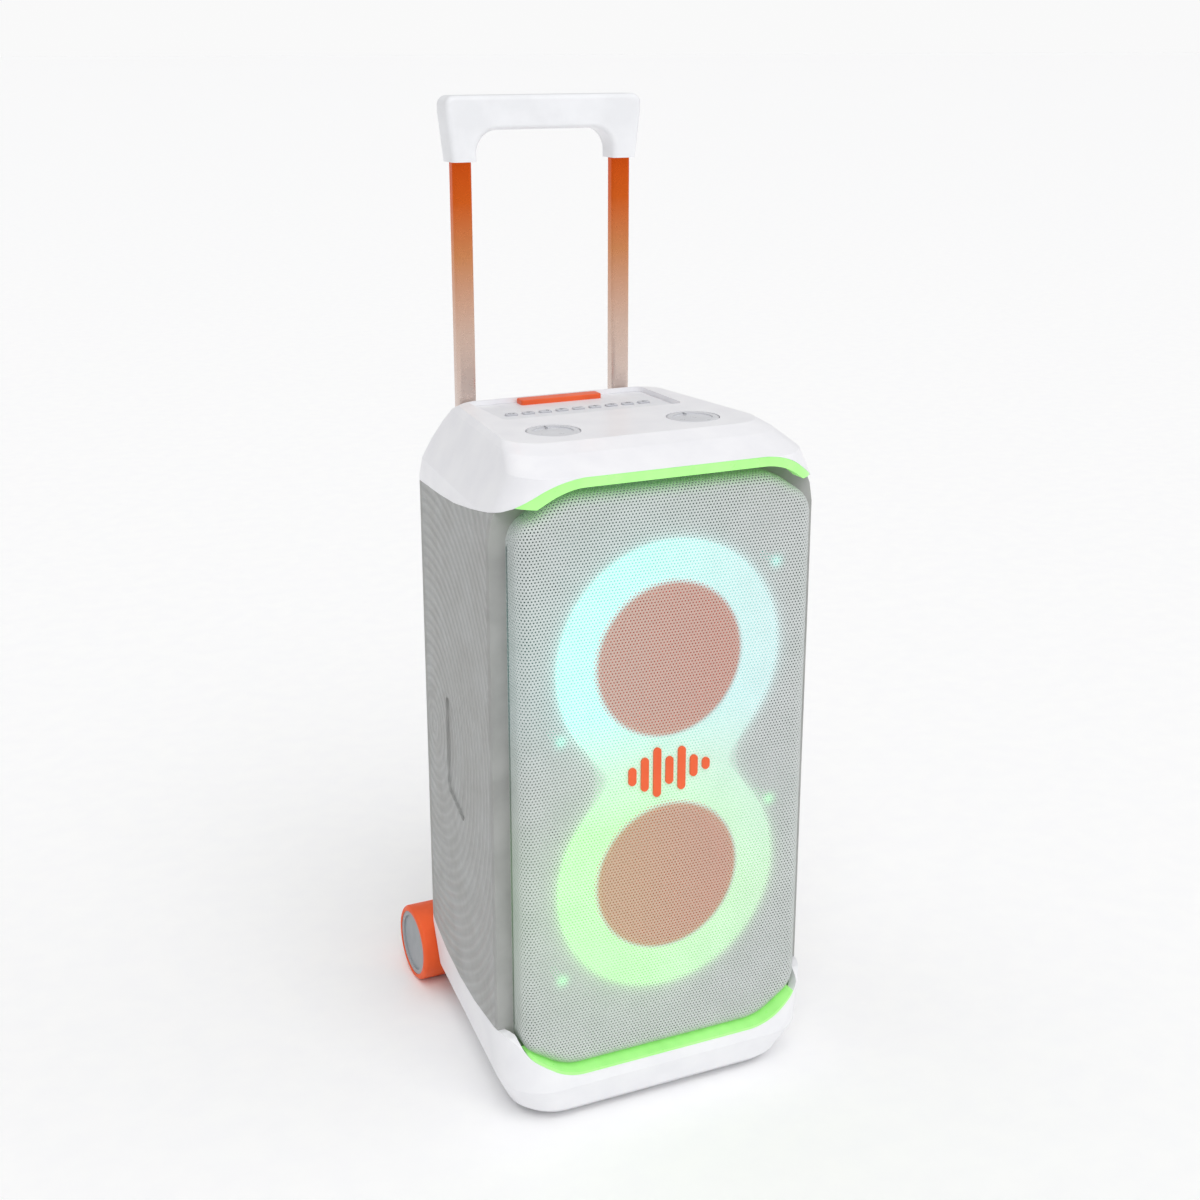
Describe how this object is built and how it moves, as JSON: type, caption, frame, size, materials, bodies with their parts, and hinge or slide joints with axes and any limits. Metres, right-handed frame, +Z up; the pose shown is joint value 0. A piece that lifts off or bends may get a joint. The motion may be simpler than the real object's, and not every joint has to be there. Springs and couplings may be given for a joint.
{
  "type": "party speaker",
  "caption": "Tall trolley speaker with a perforated front grille, figure-of-eight ring light, woofers, top controls, telescopic pull handle and rear wheels.",
  "frame": {"origin": "on the floor, under the middle of the whole object's footprint with the handle extended", "axes": "+Z up, the grille faces -Y, +X to the right seen from the front"},
  "size_m": [0.3338, 0.3844, 0.961],
  "materials": {
    "ac_black": "plain",
    "board_green": "solder mask",
    "button_plastic": "soft touch",
    "cabinet_wood": "bare MDF",
    "cap_white": "satin white moulding",
    "cell_wrap": "wrap film",
    "cone_paper": "coated cone",
    "dial_plastic": "satin",
    "diffuser": "milky diffuser, lit from behind",
    "ferrite": "matt",
    "foot_rubber": "matt",
    "grille_mesh": "perforated steel, light grey powder coat",
    "grip_white": "satin white",
    "guide_steel": "black zinc",
    "hub_grey": "fine texture",
    "inner_plastic": "fine texture",
    "orange_plastic": "satin orange",
    "panel_grey": "fine moulded ripple texture",
    "panel_light": "fine texture",
    "steel": "plain",
    "strip_light": "milky light guide, lit green",
    "strobe_clear": "clear light pipe",
    "surround_rubber": "matt",
    "tube_anodised": "anodised, fading from orange to champagne",
    "tyre_orange": "smooth",
    "white_inner": "matt white reflector"
  },
  "bodies": {
    "chassis": {"ac_inlet": "ac_black", "accent_bar": "orange_plastic", "amplifier_board": "board_green", "axle": "steel", "badge": "orange_plastic", "baffle": "inner_plastic", "base_cap": "cap_white", "bass_port": "inner_plastic", "battery_door": "panel_grey", "battery_pack": "cell_wrap", "cabinet": "cabinet_wood", "control_board": "board_green", "control_panel": "panel_light", "feet": "foot_rubber", "front_frame": "panel_grey", "front_grille": "grille_mesh", "handle_guide_left": "guide_steel", "handle_guide_right": "guide_steel", "io_jacks": "ac_black", "io_plate": "panel_grey", "led_board": "board_green", "light_strip_bottom": "strip_light", "light_strip_top": "strip_light", "rear_panel": "panel_grey", "ring_diffuser": "diffuser", "ring_housing": "white_inner", "side_panel_left": "panel_grey", "side_panel_right": "panel_grey", "strobe_light_pipes": "strobe_clear", "top_cap": "cap_white", "tweeter_left": "inner_plastic", "tweeter_right": "inner_plastic", "wheel_carriage": "inner_plastic", "woofer_basket_lower": "steel", "woofer_basket_upper": "steel", "woofer_magnet_lower": "ferrite", "woofer_magnet_upper": "ferrite"},
    "handle": {"handle_grip": "grip_white", "handle_tube_left": "tube_anodised", "handle_tube_right": "tube_anodised"},
    "release": {"release_button": "button_plastic"},
    "wheel_left": {"tyre_left": "tyre_orange", "hub_left": "hub_grey"},
    "wheel_right": {"tyre_right": "tyre_orange", "hub_right": "hub_grey"},
    "dial_left": {"dial_left": "dial_plastic"},
    "dial_right": {"dial_right": "dial_plastic"},
    "cone_upper": {"woofer_cone_upper": "cone_paper", "woofer_surround_upper": "surround_rubber"},
    "cone_lower": {"woofer_cone_lower": "cone_paper", "woofer_surround_lower": "surround_rubber"},
    "button_1": {"button_1": "button_plastic"},
    "button_2": {"button_2": "button_plastic"},
    "button_3": {"button_3": "button_plastic"},
    "button_4": {"button_4": "button_plastic"},
    "button_5": {"button_5": "button_plastic"},
    "button_6": {"button_6": "button_plastic"},
    "button_7": {"button_7": "button_plastic"},
    "button_8": {"button_8": "button_plastic"},
    "button_9": {"button_9": "button_plastic"}
  },
  "joints": [
    {"name": "handle_slide", "type": "slide", "parent": "chassis", "child": "handle", "axis": [0, 0, 1], "range_m": [-0.293, 0]},
    {"name": "release_press", "type": "slide", "parent": "handle", "child": "release", "axis": [0, -1, 0], "range_m": [0, 0.002], "stiffness_N_per_m": 800},
    {"name": "wheel_left_roll", "type": "hinge", "parent": "chassis", "child": "wheel_left", "pos_m": [-0.1275, 0.1502, 0.042], "axis": [1, 0, 0], "continuous": true},
    {"name": "wheel_right_roll", "type": "hinge", "parent": "chassis", "child": "wheel_right", "pos_m": [0.1275, 0.1502, 0.042], "axis": [1, 0, 0], "continuous": true},
    {"name": "dial_left_turn", "type": "hinge", "parent": "chassis", "child": "dial_left", "pos_m": [-0.073, -0.084, 0.664], "axis": [0, 0, 1], "range_deg": [-150, 150]},
    {"name": "dial_right_turn", "type": "hinge", "parent": "chassis", "child": "dial_right", "pos_m": [0.073, -0.084, 0.664], "axis": [0, 0, 1], "range_deg": [-150, 150]},
    {"name": "cone_upper_stroke", "type": "slide", "parent": "chassis", "child": "cone_upper", "axis": [0, 1, 0], "range_m": [-0.004, 0.004], "stiffness_N_per_m": 1800, "deforming": ["woofer_surround_upper"]},
    {"name": "cone_lower_stroke", "type": "slide", "parent": "chassis", "child": "cone_lower", "axis": [0, 1, 0], "range_m": [-0.004, 0.004], "stiffness_N_per_m": 1800, "deforming": ["woofer_surround_lower"]},
    {"name": "button_1_press", "type": "slide", "parent": "chassis", "child": "button_1", "axis": [0, 0, -1], "range_m": [0, 0.0012], "stiffness_N_per_m": 700},
    {"name": "button_2_press", "type": "slide", "parent": "chassis", "child": "button_2", "axis": [0, 0, -1], "range_m": [0, 0.0012], "stiffness_N_per_m": 700},
    {"name": "button_3_press", "type": "slide", "parent": "chassis", "child": "button_3", "axis": [0, 0, -1], "range_m": [0, 0.0012], "stiffness_N_per_m": 700},
    {"name": "button_4_press", "type": "slide", "parent": "chassis", "child": "button_4", "axis": [0, 0, -1], "range_m": [0, 0.0012], "stiffness_N_per_m": 700},
    {"name": "button_5_press", "type": "slide", "parent": "chassis", "child": "button_5", "axis": [0, 0, -1], "range_m": [0, 0.0012], "stiffness_N_per_m": 700},
    {"name": "button_6_press", "type": "slide", "parent": "chassis", "child": "button_6", "axis": [0, 0, -1], "range_m": [0, 0.0012], "stiffness_N_per_m": 700},
    {"name": "button_7_press", "type": "slide", "parent": "chassis", "child": "button_7", "axis": [0, 0, -1], "range_m": [0, 0.0012], "stiffness_N_per_m": 700},
    {"name": "button_8_press", "type": "slide", "parent": "chassis", "child": "button_8", "axis": [0, 0, -1], "range_m": [0, 0.0012], "stiffness_N_per_m": 700},
    {"name": "button_9_press", "type": "slide", "parent": "chassis", "child": "button_9", "axis": [0, 0, -1], "range_m": [0, 0.0012], "stiffness_N_per_m": 700}
  ]
}
